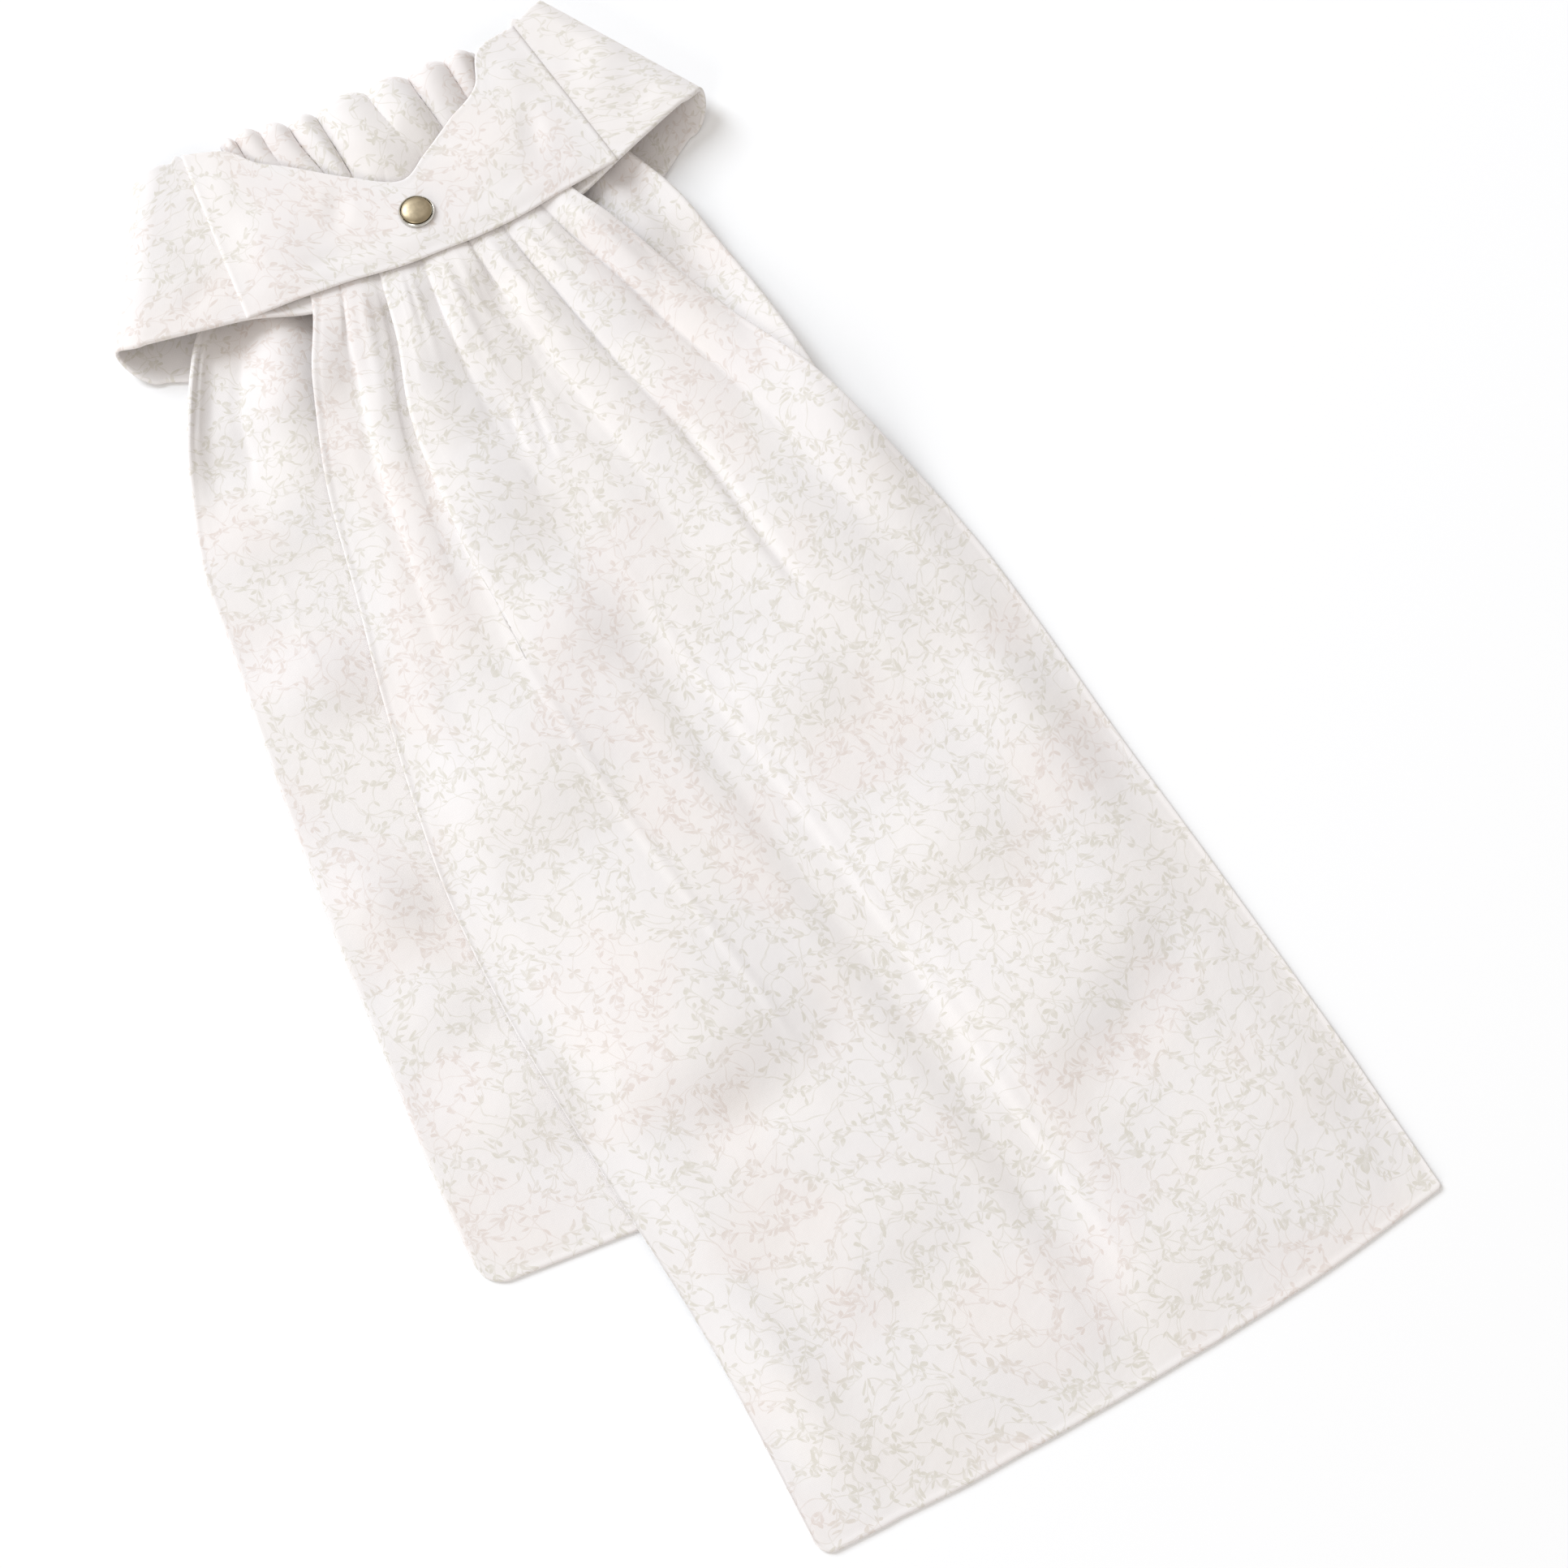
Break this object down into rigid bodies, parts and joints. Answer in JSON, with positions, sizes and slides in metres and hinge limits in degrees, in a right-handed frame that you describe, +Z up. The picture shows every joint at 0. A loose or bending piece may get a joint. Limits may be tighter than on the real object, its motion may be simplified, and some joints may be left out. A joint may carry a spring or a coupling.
{
  "type": "ready-tied cravat laid flat",
  "caption": "Ready-tied cravat laid flat: a neckband ring with a notched yoke and metal snap over a gathered strip that hangs in a long front tail and a shorter under tail.",
  "frame": {"origin": "on the surface it lies on, under the middle of the whole cravat", "axes": "+Y up the garment from the hems to the neckband, +X across it to the viewer's right, +Z up off the surface"},
  "size_m": [0.268, 0.5236, 0.0167],
  "materials": {
    "printed_cotton": "matt ivory cotton with a faint greige sprig print",
    "champagne_metal": "satin champagne",
    "nickel": "polished"
  },
  "bodies": {
    "root": {"wing_left": "printed_cotton", "wing_right": "printed_cotton", "yoke": "printed_cotton", "front_tail": "printed_cotton", "under_tail": "printed_cotton", "ruche": "printed_cotton", "snap_rim": "nickel", "snap_cap": "champagne_metal"}
  },
  "joints": []
}
